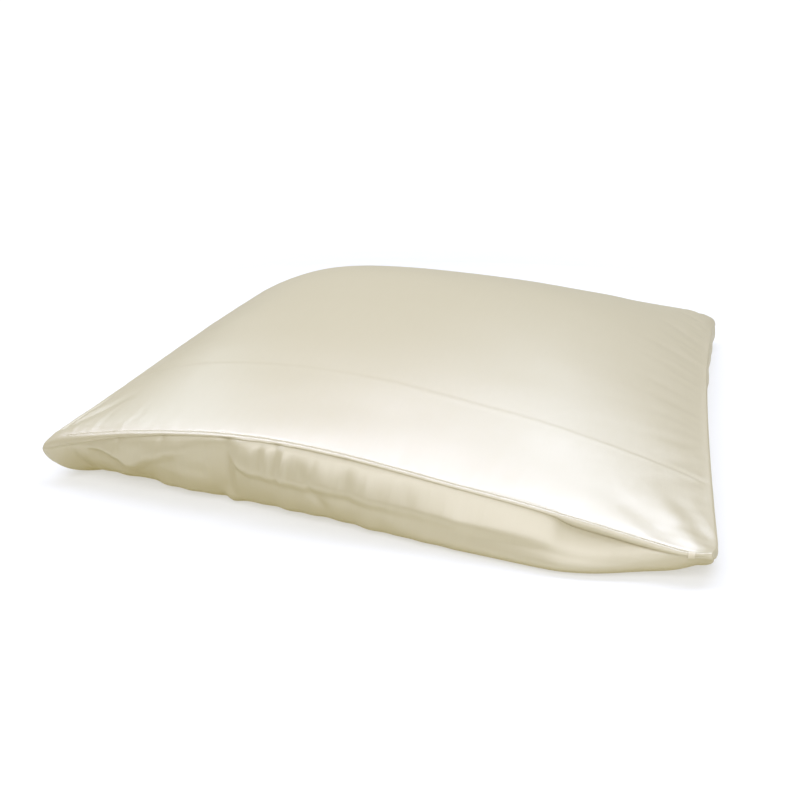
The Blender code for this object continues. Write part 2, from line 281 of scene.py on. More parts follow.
# Slow swells of the filling: their lengths and height.
SWELL_LENGTHS = (0.071, 0.093, 0.118, 0.149)
SWELL_HEIGHT = 0.00022
RANDOM_SEED = 7

# Grid cells of the upper sheet, and where its lines crowd: place, spread and extra density.
ACROSS_CELLS = 280
ALONG_CELLS = 166
Crowd = namedtuple("Crowd", "place spread density")
ACROSS_CROWDS = (Crowd(-1.0, 0.016, 3.4), Crowd(1.0, 0.016, 3.4))
ALONG_CROWDS = (
    Crowd(-1.0, 0.016, 4.5),
    Crowd(1.0, 0.014, 3.4),
    Crowd(-1 + 2 * FLAP_DEPTH / LENGTH, 0.006, 2.6),
)

# The cloth that settles under the filling's push: its coarse grid, steps, push, how much larger it is
# cut than the sheet, its stiffness against pull, shear and bending, and a point's furthest move.
SETTLE_ROWS, SETTLE_COLUMNS = 126, 100
SETTLE_STEPS = 20
SETTLE_PRESSURE = 4.0
SETTLE_SPARE = 0.005
SETTLE_STIFFNESS, SETTLE_SHEAR, SETTLE_BENDING = 30.0, 15.0, 0.4
SETTLE_REACH = 0.0022
# The share of the move that is lost at the mouth, and the places, counted towards it, between which
# that comes in.
SETTLE_CALM = 0.65
CALM_PLACES = (0.55, 0.85)
# The moves of the grid's points, which are nothing until the cloth has settled.
sheet_moves = np.zeros((SETTLE_ROWS, SETTLE_COLUMNS, 3))

# Stitching along the hem: pitch, length, thread radii, how high a stitch's middle is held, how much
# lower its ends lie, and the first and the last place.
STITCH_PITCH = 0.0030
STITCH_LENGTH = 0.0025
THREAD_WIDTH = 0.00028
THREAD_RISE = 0.00020
STITCH_LIFT = 0.00022
STITCH_DIP = 0.00012
STITCHES = (-0.90, 0.935)
# Stations from end to end of a stitch, and how its girth follows them: a power, and the least share.
STITCH_STATIONS = np.array([-1.0, -0.86, -0.5, 0.0, 0.5, 0.86, 1.0])
STITCH_GIRTH_POWER = 0.6
STITCH_GIRTH_LEAST = 0.02
# The corners of a thread's section, as turns around it.
THREAD_TURNS = np.arange(6) * np.pi / 3
# How far each thread's colours are shifted from the last one's, and the span of one turn around it.
THREAD_UV_SHIFT = 0.0037
THREAD_UV_SPAN = 0.001
# The bar tack that ends the mouth opening: place, width, number and radius of its threads, the arch
# that holds it off the cloth, where it lies on top, how far down it reaches, which way, and stations.
TACK_ACROSS = 0.936
TACK_WIDTH = 0.0046
TACK_THREADS = 11
TACK_RADIUS = 0.00024
TACK_ARCH = 0.0007
TACK_ARCH_POWER = 0.6
TACK_ON_TOP = (0.0030, 0.0005)
TACK_DROP = 0.0020
TACK_WAY_DOWN = (0.0, 0.18, -1.0)
TACK_STATIONS = (7, 6)

# The camera: where it looks, from which bearing and height, from how far, and its lens.
CAMERA_AIM = (0.00952, -0.19855, 0.060)
CAMERA_AZIMUTH = 19.16
CAMERA_ELEVATION = 18.39
CAMERA_DISTANCE = 0.66474
CAMERA_LENS = 38.136
SENSOR = 36.0

# The floor: its white, the glow that the camera sees, the warm lift of the walls, and where it fades.
FLOOR_WHITE = (0.485, 0.50, 0.52)
FLOOR_GLOW = 0.50
FLOOR_LIFT = 0.24
FLOOR_LIFT_COLOUR = (1.0, 0.82, 0.22)
FLOOR_FADE = (0.85, 1.25)
# The surround: its brightness as the camera sees it and as it lights things, and its warm tint then.
SURROUND_SEEN = 1.1
SURROUND_LIGHT = 0.35
SURROUND_TINT = (1.0, 0.955, 0.80)
# The soft lights: aim, bearing, height, distance, size, power and colour.
Light = namedtuple("Light", "aim azimuth elevation distance size power colour")
LIGHTS = {
    "overhead_softbox": Light((0, -0.2, 0), 24.0, 69.5, 1.6, (3.8, 0.55), 33.0, (0.765, 0.79, 1.0)),
    "left_wing": Light((0, -0.2, 0), 60.0, 38.0, 1.6, (0.5, 0.4), 1.5, (0.70, 0.82, 1.0)),
    "right_wing": Light((0, -0.2, 0), -26.0, 48.0, 1.6, (0.8, 0.5), 2.4, (0.70, 0.82, 1.0)),
    "front_fill": Light((0, -0.2, 0), 185.0, 50.0, 2.0, (2.4, 1.4), 19.0, (0.98, 0.96, 1.0)),
    "right_fill": Light((0.16, -0.32, 0.03), 205.0, 14.0, 0.8, (0.5, 0.3), 0.75, (0.96, 0.97, 1.0)),
}

# The satin and the sewing thread: a lighter and a darker ivory, how often they drift over a metre, the
# roughness, and the colour in plain views. The satin's strong gloss is an index of refraction.
Look = namedtuple("Look", "light dark drift roughness plain")
SATIN = Look((0.615, 0.565, 0.398, 1), (0.575, 0.524, 0.350, 1), 9.0, 0.35, (0.82, 0.77, 0.62, 1))
THREAD = Look((0.88, 0.84, 0.72, 1), (0.82, 0.765, 0.62, 1), 220.0, 0.5, (0.85, 0.81, 0.68, 1))
SATIN_IOR = 1.9
# How often weave, streaks, fine creases and the thread's twist come in a metre, and how strongly and
# how deep they bump.
THREADS_PER_METRE = 4000.0
STREAKS_PER_METRE = (900.0, 22.0, 1.0)
WEAVE_BUMP = (0.35, 0.00003)
CREASES_PER_METRE = 55.0
CREASE_BUMP = (0.5, 0.0004)
TWISTS_PER_METRE = 900.0
TWIST_BUMP = (0.5, 0.00005)


def blend(low, high, place):
    """A smooth step from 0 at low to 1 at high: 3s^2 - 2s^3 of the share s of the way."""
    share = np.clip((place - low) / (high - low), 0.0, 1.0)
    return share * share * (3 - 2 * share)


def bell(distance, width):
    """1 at no distance, falling on a normal curve of the given half width."""
    return np.exp(-((distance / width) ** 2))


def bow(place, power):
    """1 in the middle of an edge and 0 at its ends, by a power of the place, rounded in the middle."""
    low, high = BOW_ROUNDING**power, (1 + BOW_ROUNDING**2) ** (power / 2)
    return 1 - ((place**2 + BOW_ROUNDING**2) ** (power / 2) - low) / (high - low)


def leaned(place, lean):
    """Shifts the middle of an edge towards -1 and leaves its ends, by a parabola."""
    return np.clip(place + lean * (1 - place * place), -1.0, 1.0)


def rounded(distance, radius):
    """How far a quarter circle of that radius falls below its top, at a distance from the edge."""
    short = np.clip(radius - distance, 0.0, radius)
    return radius - np.sqrt(radius**2 - short**2)


def lines(cells, half_side, crowds):
    """Places from -1 to 1 that take equal shares of a density, which is 1 and more near each crowd."""
    even = np.linspace(-1.0, 1.0, 6001)
    density = np.ones_like(even)
    for crowd in crowds:
        density += crowd.density * np.exp(-np.abs(even - crowd.place) * half_side / crowd.spread)
    total = np.concatenate([[0.0], np.cumsum(density[1:] + density[:-1])])
    return np.interp(np.linspace(0.0, total[-1], cells + 1), total, even)


def station_values(table, place):
    """Every column of a table at each place: a cubic through the rows, its slopes from neighbours."""
    rows = np.array(table)
    last = len(rows) - 1
    right = np.clip(np.searchsorted(rows[:, 0], place), 1, last)
    before, start = rows[np.maximum(right - 2, 0)], rows[right - 1]
    end, after = rows[right], rows[np.minimum(right + 1, last)]
    span = (end[..., 0] - start[..., 0])[..., None]
    share = (place - start[..., 0])[..., None] / span
    leave = span * (end - before) / (end[..., :1] - before[..., :1])
    arrive = span * (after - start) / (after[..., :1] - start[..., :1])
    value = start + (end - start) * share * share * (3 - 2 * share)
    value += leave * share * (1 - share) ** 2 - arrive * (1 - share) * share**2
    return type(table[0])(*np.moveaxis(value, -1, 0))


def wave_phases(draw, shape):
    """Random phases for waves, from a seed for each draw."""
    return np.random.default_rng(RANDOM_SEED + draw).uniform(0, 2 * np.pi, shape)


def waves(place, lengths, phases):
    """A sum of sines of the given wave lengths, divided by their number."""
    turns = (2 * np.pi * place / length + phase for length, phase in zip(lengths, phases))
    return sum(np.sin(turn) for turn in turns) / len(lengths)


def seam_rise(edge, place):
    """How far an edge's seam rises over its corners."""
    return edge.rise * bow(leaned(place, edge.lean), edge.rise_power)


def seam_base(across, along):
    """Height of a sheet stretched between the seams: a mix of the corners' heights and each edge's
    rise, less the mouth edge's sag, which fades faster."""
    height = sum(
        corner.height * (1 + corner.across * across) * (1 + corner.along * along) / 4
        for corner in CORNERS
    )
    height = height + (1 - along) / 2 * seam_rise(MOUTH, across)
    height -= ((1 - along) / 2) ** SAG_POWER * station_values(MOUTH_WALL, across).sag
    height += (1 + along) / 2 * seam_rise(CLOSED_END, across)
    height += (1 - across) / 2 * seam_rise(LEFT, along)
    height += (1 + across) / 2 * seam_rise(RIGHT, along)
    return height


def corner_puff(across, along):
    """Height that the filling adds inside the corner tips, and a bell around a tip that turns up."""
    height = 0.0
    for corner in CORNERS:
        side = (1 - corner.across * across) * WIDTH / 2
        end = (1 - corner.along * along) * LENGTH / 2
        rise = (1 - np.exp(-side / PUFF_START)) * (1 - np.exp(-end / PUFF_START))
        height = height + corner.puff * rise * np.exp(-(side + end) / PUFF_REACH)
        height = height + corner.lift * bell(side + end, LIFT_REACH)
    return height


def fold_relief(folds, x, y, scale, slow):
    """Relief of folds along straight lines, both directions scaled: a bell across each line, which
    fades slowly along it or only at its end."""
    relief = 0.0
    for fold in folds:
        run = np.subtract(fold.end, fold.start) * scale
        length = np.hypot(*run)
        right, up = (x - fold.start[0]) * scale[0], (y - fold.start[1]) * scale[1]
        ahead, aside = (right * run[0] + up * run[1]) / length, (right * run[1] - up * run[0]) / length
        ends = (FOLD_FADE_FROM * length, length) if slow else (length - fold.width, length + fold.width)
        fade = blend(-fold.width, fold.width, ahead) * (1 - blend(*ends, ahead))
        relief = relief + fold.height * fade * bell(aside, fold.width)
    return relief


def plan_point(across, along):
    """Plan position on the sheet: edges drawn in on a bow, corner tips pulled in on a bell."""
    side_in = np.where(across < 0, LEFT.drawn_in, RIGHT.drawn_in) * bow(along, DRAW_IN_POWER)
    end_in = np.where(along < 0, MOUTH.drawn_in, CLOSED_END.drawn_in) * bow(across, DRAW_IN_POWER)
    x, y = across * (WIDTH / 2 - side_in), along * (LENGTH / 2 - end_in)
    for corner in CORNERS:
        to_tip = (1 - corner.across * across) * WIDTH / 2 + (1 - corner.along * along) * LENGTH / 2
        pull = CORNER_PULL * corner.radius * bell(to_tip, corner.radius)
        x = x - corner.across * pull
        y = y - corner.along * pull
    return x, y


def hem_relief(inward, open_share):
    """The hem strip: proud by its rise as far as the stitching, with a bell-shaped groove there."""
    strip = HEM_RISE * blend(HEM_WIDTH, HEM_WIDTH - HEM_STEP, inward)
    groove = HEM_GROOVE * bell(inward - HEM_WIDTH, GROOVE_SPREAD)
    return open_share * (strip - groove)


def flap_relief(across, inward):
    """The inner flap under the sheet: a soft step at its edge with a low ridge on it."""
    edge = FLAP_DEPTH + FLAP_BOW * bow(across, 2)
    step = FLAP_STEP * blend(edge + FLAP_SOFTNESS, edge - FLAP_SOFTNESS, inward)
    ridge = FLAP_RIDGE * bell(inward - edge, FLAP_SOFTNESS)
    return (step + ridge) * blend(*FLAP_FROM_MOUTH, inward)


def pucker_height(x, y, side, end):
    """Puckers along the seams: waves along each edge that start just inside it and fade inwards."""
    phases = wave_phases(0, (2, len(PUCKER_PITCHES)))
    reach = [distance / PUCKER_REACH * np.exp(1 - distance / PUCKER_REACH) for distance in (side, end)]
    height = reach[0] * waves(y, PUCKER_PITCHES, phases[0])
    return PUCKER_HEIGHT * (height + reach[1] * waves(x, PUCKER_PITCHES, phases[1]))


def swell_height(x, y):
    """Slow swells of the filling: waves along four turned directions, multiplied in pairs."""
    random = np.random.default_rng(RANDOM_SEED + 1)
    turns = random.uniform(0, np.pi, 4)
    phases = random.uniform(0, 2 * np.pi, (4, len(SWELL_LENGTHS)))
    runs = [waves(x * np.cos(t) + y * np.sin(t), SWELL_LENGTHS, p) for t, p in zip(turns, phases)]
    return SWELL_HEIGHT * (runs[0] + runs[1] + 2 * runs[2] * runs[3])


def settled_move(across, along):
    """The move of the settled cloth at each place: a cubic B-spline through the coarse grid's moves."""
    near, weights = [], []
    for place, count in ((along, SETTLE_ROWS), (across, SETTLE_COLUMNS)):
        step = (place + 1) / 2 * (count - 1)
        start = np.clip(np.floor(step), 0, count - 2)
        t = (step - start)[..., None]
        near.append([np.clip(start + offset, 0, count - 1).astype(int) for offset in (-1, 0, 1, 2)])
        weights.append([(1 - t) ** 3, 3 * t**3 - 6 * t**2 + 4, 1 + 3 * t + 3 * t**2 - 3 * t**3, t**3])
    move = 0.0
    for row, row_weight in zip(near[0], weights[0]):
        for column, column_weight in zip(near[1], weights[1]):
            move = move + row_weight * column_weight / 36 * sheet_moves[row, column]
    return move


def grid_quads(index):
    """Four-cornered faces of a grid of point numbers."""
    return np.stack([index[:-1, :-1], index[:-1, 1:], index[1:, 1:], index[1:, :-1]], -1).reshape(-1, 4)


def ring_quads(index):
    """Four-cornered faces between closed rings of point numbers, a row for each ring."""
    beside = np.roll(index, -1, axis=1)
    return np.stack([index[:-1], index[1:], beside[1:], beside[:-1]], -1).reshape(-1, 4)


def add_object(name, data):
    """An object of that name at the origin, put into the scene."""
    made = bpy.data.objects.new(name, data)
    bpy.context.scene.collection.objects.link(made)
    return made


def settle_sheet():
    """Lets the upper sheet settle as Blender's cloth, and gives how far each grid point moved.

    The rim is held and the cloth is cut a little large, so the filling's push buckles it into soft
    puckers along the seams. A move shrinks smoothly towards the furthest reach."""
    along, across = np.meshgrid(
        np.linspace(-1, 1, SETTLE_ROWS), np.linspace(-1, 1, SETTLE_COLUMNS), indexing="ij"
    )
    start = upper_sheet(across, along)
    index = np.arange(along.size).reshape(along.shape)
    mesh = bpy.data.meshes.new("settling_sheet")
    mesh.from_pydata(start.reshape(-1, 3).tolist(), [], grid_quads(index).tolist())
    sheet = add_object("settling_sheet", mesh)
    held = sheet.vertex_groups.new(name="seams")
    held.add(index[(np.abs(across) == 1) | (np.abs(along) == 1)].tolist(), 1.0, "REPLACE")
    cloth = sheet.modifiers.new("cloth", "CLOTH")
    settings = cloth.settings
    settings.vertex_group_mass = "seams"
    settings.use_pressure = True
    settings.uniform_pressure_force = SETTLE_PRESSURE
    settings.shrink_min = -SETTLE_SPARE
    settings.tension_stiffness = settings.compression_stiffness = SETTLE_STIFFNESS
    settings.shear_stiffness = SETTLE_SHEAR
    settings.bending_stiffness = SETTLE_BENDING
    settings.effector_weights.gravity = 0.0
    cloth.point_cache.frame_start, cloth.point_cache.frame_end = 1, SETTLE_STEPS
    for step in range(1, SETTLE_STEPS + 1):
        bpy.context.scene.frame_set(step)
    settled = sheet.evaluated_get(bpy.context.evaluated_depsgraph_get()).data
    moved = np.empty(start.size)
    settled.vertices.foreach_get("co", moved)
    move = moved.reshape(start.shape) - start
    far = np.linalg.norm(move, axis=-1, keepdims=True)
    bpy.context.scene.frame_set(1)
    bpy.data.objects.remove(sheet)
    bpy.data.meshes.remove(mesh)
    calm = 1 - SETTLE_CALM * blend(*CALM_PLACES, -along)
    return move * calm[..., None] * SETTLE_REACH / (SETTLE_REACH + far)


def upper_sheet(across, along):
    """Points of the upper sheet: the stretched base, the crown as a product of two bows, the puffed
    corners, and the relief, which starts from nothing on the rim. The sheet rounds over at its edge."""
    x, y = plan_point(across, along)
    side, end = (1 - np.abs(across)) * WIDTH / 2, (1 - np.abs(along)) * LENGTH / 2
    edge, inward = np.minimum(side, end), (1 + along) * LENGTH / 2
    wall = station_values(MOUTH_WALL, across)
    inside_sides = bow(across, np.where(across < 0, LEFT.crown_power, RIGHT.crown_power))
    inside_ends = bow(along, np.where(along < 0, MOUTH.crown_power, CLOSED_END.crown_power))
    height = seam_base(across, along) + CROWN_HEIGHT * inside_sides * inside_ends
    height += corner_puff(across, along)
    relief = fold_relief(FOLDS, x, y, (1.0, 1.0), True) + swell_height(x, y)
    height += blend(0.0, RELIEF_START, edge) * relief
    height += pucker_height(x, y, side, end) * np.where(along < 0, 1 - PUCKER_LOSS * wall.open, 1.0)
    height += flap_relief(across, inward) * blend(0.0, FLAP_FROM_SIDE, side)
    height += hem_relief(inward, wall.open) * blend(0.0, HEM_START, side)
    hemmed = wall.open * blend(0.0, HEM_EDGE_START, side - end) * (along < 0)
    height -= hemmed * rounded(edge, HEM_RADIUS + np.maximum(wall.roll, 0.0))
    height -= (1 - hemmed) * rounded(edge, SEAM_RADIUS)
    return np.stack([x, y, height], -1) + settled_move(across, along)


def gather_relief(across, down):
    """Upright gathers: a bell across each line that rises and falls on a power of a cosine."""
    relief = 0.0
    for gather in GATHERS:
        line = gather.across + gather.slant * down
        middle, half = (gather.top + gather.bottom) / 2, (gather.bottom - gather.top) / 2
        fall = np.cos(np.pi / 2 * np.clip((down - middle) / half, -1, 1)) ** GATHER_POWER
        relief = relief + gather.depth * bell((across - line) * WIDTH / 2, gather.width) * fall
    return relief


def shelf_relief(across, down):
    """Level folds: each grows from the hem to its line and drops back just below it on a smooth step."""
    relief = 0.0
    for rows in SHELVES:
        shelf = station_values(rows, np.clip(across, rows[0].across, rows[-1].across))
        share = np.clip(down / np.maximum(shelf.down, SHELF_WAY_LEAST), 0, SHELF_SHARE_MOST)
        past = blend(shelf.down - shelf.edge, shelf.down + shelf.edge, down)
        relief = relief + np.maximum(shelf.depth, 0.0) * share**SHELF_POWER * (1 - past)
    return relief


def mouth_relief(across, down):
    """How far the mouth wall stands out, down from 0 at the hem to 1 at the foot: gathers, level
    folds, creases, and fine puckers that fade below the hem."""
    phases = wave_phases(3, len(HEM_PUCKER_PITCHES))
    share = down / HEM_PUCKER_REACH
    leaned_place = (across + HEM_PUCKER_LEAN * down) * WIDTH / 2
    fine = waves(leaned_place, HEM_PUCKER_PITCHES, phases) * share * np.exp(1 - share)
    fine = fine * blend(*HEM_PUCKERS_START, across) * (1 - HEM_PUCKER_LOSS * blend(*HEM_PUCKERS_CALM, across))
    creases = fold_relief(CREASES, across, down, (WIDTH / 2, WALL_SPAN), False)
    return gather_relief(across, down) + shelf_relief(across, down) + creases + HEM_PUCKER_HEIGHT * fine


def foot_ripple(across):
    """Ripple of the mouth wall's foot, over its left half: waves that fade at both ends."""
    phases = wave_phases(4, len(RIPPLE_PITCHES))
    fade = blend(*RIPPLE_START, across) * (1 - blend(*RIPPLE_END, across))
    return fade * RIPPLE_DEPTH * waves(across * WIDTH / 2, RIPPLE_PITCHES, phases)


def side_relief(x, y, across, along, down):
    """How far soft upright waves push the three closed walls out, strongest halfway down."""
    phases = wave_phases(2, (2, len(SIDE_WAVE_LENGTHS)))
    run = np.abs(across) ** OUTWARD_POWER * waves(y, SIDE_WAVE_LENGTHS, phases[0])
    run = run + np.abs(along) ** OUTWARD_POWER * waves(x, SIDE_WAVE_LENGTHS, phases[1])
    return SIDE_WAVE_DEPTH * run * np.sin(np.pi * np.clip(down, 0, 1)) ** SIDE_WAVE_POWER


def outward(across, along):
    """The way out from the rim in plan, which turns from one edge's to the next only near a corner."""
    places = np.stack([across, along], -1)
    return np.sign(places) * np.abs(places) ** OUTWARD_POWER


def wall_sheet(across, along, rim):
    """Rings of the wall, from the rim over the edge to the foot, for every place on the rim.

    Past the edge rings a turn goes from 0 to a quarter circle: the height falls with its sine, the foot
    moves in with it, the bulge follows the sine of twice the turn, and the foot turns under, rounded."""
    count = len(EDGE_RINGS)
    rings = np.arange(count + WALL_RINGS)
    edge = Ring(*np.array(EDGE_RINGS)[np.minimum(rings, count - 1)].T[..., None])
    down = np.clip((rings - count + 1) / WALL_RINGS, 0, 1)[:, None]
    turn = np.pi / 2 * down
    seam_height = rim[:, 2]
    near = blend(MOUTH_WALL_FROM, 1.0, -along)
    station = station_values(MOUTH_WALL, across)
    hemmed = near * station.open
    radius = HEM_RADIUS + np.maximum(station.roll, 0.0)
    lip = hemmed * (edge.radius_down * radius + edge.gap * station.gap)
    seam = (1 - hemmed) * (1 - SEAM_FADE * np.abs(across * along) ** SEAM_FADE_POWER)
    lip = (lip + seam * edge.drop * SEAM_DROP) * np.clip(seam_height / LOW_SEAM, 0.0, 1.0)
    height = (seam_height - lip) * (1 - np.sin(turn))
    recess = hemmed * edge.setback * station.setback * (1 - down) ** SETBACK_POWER
    slot = hemmed * edge.radius_in * radius + seam * edge.pinch * SEAM_PINCH
    bulge = (near * station.bulge + (1 - near) * SIDE_BULGE) * np.sin(2 * turn)
    brow = station.brow * np.sin(np.pi * down**BROW_POWER)
    relief = near * (mouth_relief(across[None, :], down) + brow - recess)
    plain = (SIDE_FOOT + CORNER_FOOT * (across * along) ** CORNER_FOOT_POWER) * (1 - np.cos(turn))
    plain = plain - (1 - near) * side_relief(rim[:, 0], rim[:, 1], across, along, down)
    inset = station.nose * (1 - np.cos(turn)) + (1 - station.nose) * np.sin(turn)
    curl = rounded(height, np.minimum(FOOT_RADIUS, seam_height / 2))
    mouth = (station.foot - foot_ripple(across)) * inset + curl
    sideways = slot * np.cos(turn) + plain - bulge
    endways = slot * np.cos(turn) + near * (mouth - relief) + (1 - near) * plain - bulge
    out = outward(across, along)
    return np.stack([rim[:, 0] - sideways * out[:, 0], rim[:, 1] - endways * out[:, 1], height], -1)


def add_mesh(name, points, faces, uv, material):
    """A smooth mesh object at the origin from arrays of points, faces and each point's UV."""
    mesh = bpy.data.meshes.new(name)
    mesh.from_pydata(points.tolist(), [], faces)
    layer = mesh.uv_layers.new(name="cloth")
    corners = np.empty(len(mesh.loops), np.int32)
    mesh.loops.foreach_get("vertex_index", corners)
    layer.data.foreach_set("uv", uv[corners].ravel())
    mesh.polygons.foreach_set("use_smooth", np.ones(len(mesh.polygons), bool))
    mesh.materials.append(material)
    mesh.validate()
    mesh.update()
    return add_object(name, mesh)


def cover_arrays():
    """Points, faces and cloth coordinates of the whole case: upper grid, wall rings, underside. Past
    the rim the cloth coordinates run on outwards by the length of the way down."""
    across_lines = lines(ACROSS_CELLS, WIDTH / 2, ACROSS_CROWDS)
    along_lines = lines(ALONG_CELLS, LENGTH / 2, ALONG_CROWDS)
    along, across = np.meshgrid(along_lines, across_lines, indexing="ij")
    upper = upper_sheet(across, along).reshape(-1, 3)
    upper_uv = np.stack([across * WIDTH / 2, along * LENGTH / 2], -1).reshape(-1, 2)
    index = np.arange(along.size).reshape(along.shape)

    rim_index = np.concatenate([index[0, :-1], index[:-1, -1], index[-1, :0:-1], index[:0:-1, 0]])
    places = across.ravel()[rim_index], along.ravel()[rim_index]
    rim = upper[rim_index]
    wall = wall_sheet(*places, rim)[1:]
    under = wall[-1] * np.array(UNDER_RINGS)[:, None, None]
    under[..., 2] = 0.0
    rings = np.concatenate([wall, under])
    steps = np.linalg.norm(np.diff(np.concatenate([rim[None], rings]), axis=0), axis=-1)
    ring_uv = upper_uv[rim_index] + np.cumsum(steps, axis=0)[..., None] * outward(*places)
    ring_index = len(upper) + np.arange(steps.size).reshape(steps.shape)
    ring_index = np.concatenate([rim_index[None], ring_index])
    foot, centre = ring_index[-1], len(upper) + steps.size
    fan = np.stack([foot, np.full_like(foot, centre), np.roll(foot, -1)], -1)
    points = np.concatenate([upper, rings.reshape(-1, 3), [[0.0, 0.0, 0.0]]])
    uv = np.concatenate([upper_uv, ring_uv.reshape(-1, 2), [[0.0, 0.0]]])
    faces = grid_quads(index).tolist() + ring_quads(ring_index).tolist() + fan.tolist()
    return points, faces, uv


def frame_shift(points):
    """The move that centres the points' box on the solid's box in plan, with the foot at its floor."""
    low, high = (np.array(corner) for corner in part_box("filled_case"))
    shift = (low + high) / 2 - (points.min(0) + points.max(0)) / 2
    shift[2] = low[2] - points[:, 2].min()
    return shift


def hem_line(across):
    """Points on the stitching line of the hem."""
    return upper_sheet(across, np.full_like(across, -1 + 2 * HEM_WIDTH / LENGTH))


def unit(vectors):
    """Vectors brought to the length of one."""
    return vectors / np.linalg.norm(vectors, axis=-1, keepdims=True)


def stitch_arrays(shift):
    """Each stitch is a capsule: an ellipse whose size follows a half circle along its length."""
    first, last = hem_line(np.array(STITCHES))
    count = int(np.linalg.norm(last - first) / STITCH_PITCH)
    points = hem_line(np.linspace(*STITCHES, count))
    ahead = unit(np.gradient(points, axis=0))
    up = unit(np.cross(ahead, np.cross([0.0, 0.0, 1.0], ahead)))
    aside = np.cross(up, ahead)
    station = STITCH_STATIONS[:, None]
    girth = np.sqrt(1 - station**2) ** STITCH_GIRTH_POWER + STITCH_GIRTH_LEAST
    go_ahead = station * STITCH_LENGTH / 2 + 0 * THREAD_TURNS
    go_aside = girth * THREAD_WIDTH * np.cos(THREAD_TURNS)
    go_up = girth * THREAD_RISE * np.sin(THREAD_TURNS) + STITCH_LIFT - STITCH_DIP * station**2
    points = points[:, None, None]
    for distance, way in ((go_ahead, ahead), (go_aside, aside), (go_up, up)):
        points = points + distance[..., None] * way[:, None, None]
    return tube_mesh(points + shift)


def tube_mesh(points):
    """Points, faces and UVs of closed tubes, from an array of tube, station and turn."""
    tubes, stations, turns, _ = points.shape
    index = np.arange(tubes * stations * turns).reshape(tubes, stations, turns)
    beside = np.roll(index, -1, axis=2)
    quads = np.stack([index[:, :-1], beside[:, :-1], beside[:, 1:], index[:, 1:]], -1).reshape(-1, 4)
    starts, ends = index[:, 0, ::-1], index[:, -1]
    steps = np.linalg.norm(np.diff(points.mean(2), axis=1), axis=-1)
    run = np.concatenate([np.zeros((tubes, 1)), np.cumsum(steps, axis=1)], axis=1)
    run = run + THREAD_UV_SHIFT * np.arange(tubes)[:, None]
    girth = np.broadcast_to(np.arange(turns) / turns, index.shape)
    uv = np.stack([np.broadcast_to(run[..., None], girth.shape), girth * THREAD_UV_SPAN], -1)
    return points.reshape(-1, 3), quads.tolist() + starts.tolist() + ends.tolist(), uv.reshape(-1, 2)


def tack_arrays(shift):
    """The bar tack: threads side by side that wrap the hem's edge. Each follows the case's own section
    from the stitching line over the edge, held off the surface by an arch."""
    threads = np.arange(TACK_THREADS) - (TACK_THREADS - 1) / 2
    places = TACK_ACROSS + threads * TACK_WIDTH / TACK_THREADS / (WIDTH / 2)
    inward = np.linspace(*TACK_ON_TOP, TACK_STATIONS[0])
    over = upper_sheet(places[:, None] + 0 * inward, -1 + 2 * inward / LENGTH + 0 * places[:, None])
    rim = upper_sheet(places, -np.ones_like(places))
    drop = np.linspace(0.0, TACK_DROP, TACK_STATIONS[1])[:, None]
    path = np.concatenate([over, rim[:, None] + drop * TACK_WAY_DOWN], axis=1)
    ahead = unit(np.gradient(path, axis=1))
    out = unit(np.cross(ahead, [1.0, 0.0, 0.0]))
    aside = np.cross(ahead, out)
    arch = TACK_ARCH * np.sin(np.pi * np.linspace(0, 1, path.shape[1])) ** TACK_ARCH_POWER
    path = path + arch[:, None] * out
    turn = THREAD_TURNS[:, None]
    ring = TACK_RADIUS * (np.cos(turn) * aside[:, :, None] + np.sin(turn) * out[:, :, None])
    return tube_mesh(path[:, :, None] + ring + shift)


def new_group(name, inputs, outputs):
    """A shader node group with sockets of these names, kinds and values, its inputs and output node."""
    group = bpy.data.node_groups.new(name, "ShaderNodeTree")
    for label, kind, value in inputs:
        socket = group.interface.new_socket(name=label, in_out="INPUT", socket_type="NodeSocket" + kind)
        if value is not None:
            socket.default_value = value
    for label, kind in outputs:
        group.interface.new_socket(name=label, in_out="OUTPUT", socket_type="NodeSocket" + kind)
    return group, group.nodes.new("NodeGroupInput").outputs, group.nodes.new("NodeGroupOutput")


def set_inputs(tree, node, inputs):
    """Gives a node its inputs, each a value, or a socket to be linked from."""
    for key, value in inputs.items():
        if isinstance(value, bpy.types.NodeSocket):
            tree.links.new(value, node.inputs[key])
        else:
            node.inputs[key].default_value = value


def add_node(tree, kind, inputs=None, **settings):
    """A shader node with its settings and its inputs, as its outputs."""
    node = tree.nodes.new("ShaderNode" + kind)
    for name, value in settings.items():
        setattr(node, name, value)
    set_inputs(tree, node, inputs or {})
    return node.outputs


def math_node(tree, operation, *values):
    """The output of a Math node."""
    return add_node(tree, "Math", dict(enumerate(values)), operation=operation)[0]


def mix_colours(tree, share, first, second):
    """The output of a Mix node for colours, which are its sockets 6 and 7."""
    return add_node(tree, "Mix", {0: share, 6: first, 7: second}, data_type="RGBA")[2]


def mapped(tree, vector, **settings):
    """A vector turned or stretched by a Mapping node."""
    return add_node(tree, "Mapping", {"Vector": vector, **settings})[0]


def noise(tree, vector, scale, **settings):
    """The output of a Noise Texture."""
    return add_node(tree, "TexNoise", {"Vector": vector, "Scale": scale, **settings})[0]


def bump(tree, height, strength, depth, **over):
    """The normal that a Bump node gives, over another normal where there is one."""
    inputs = {"Height": height, "Strength": strength, "Distance": depth, **over}
    return add_node(tree, "Bump", inputs)[0]


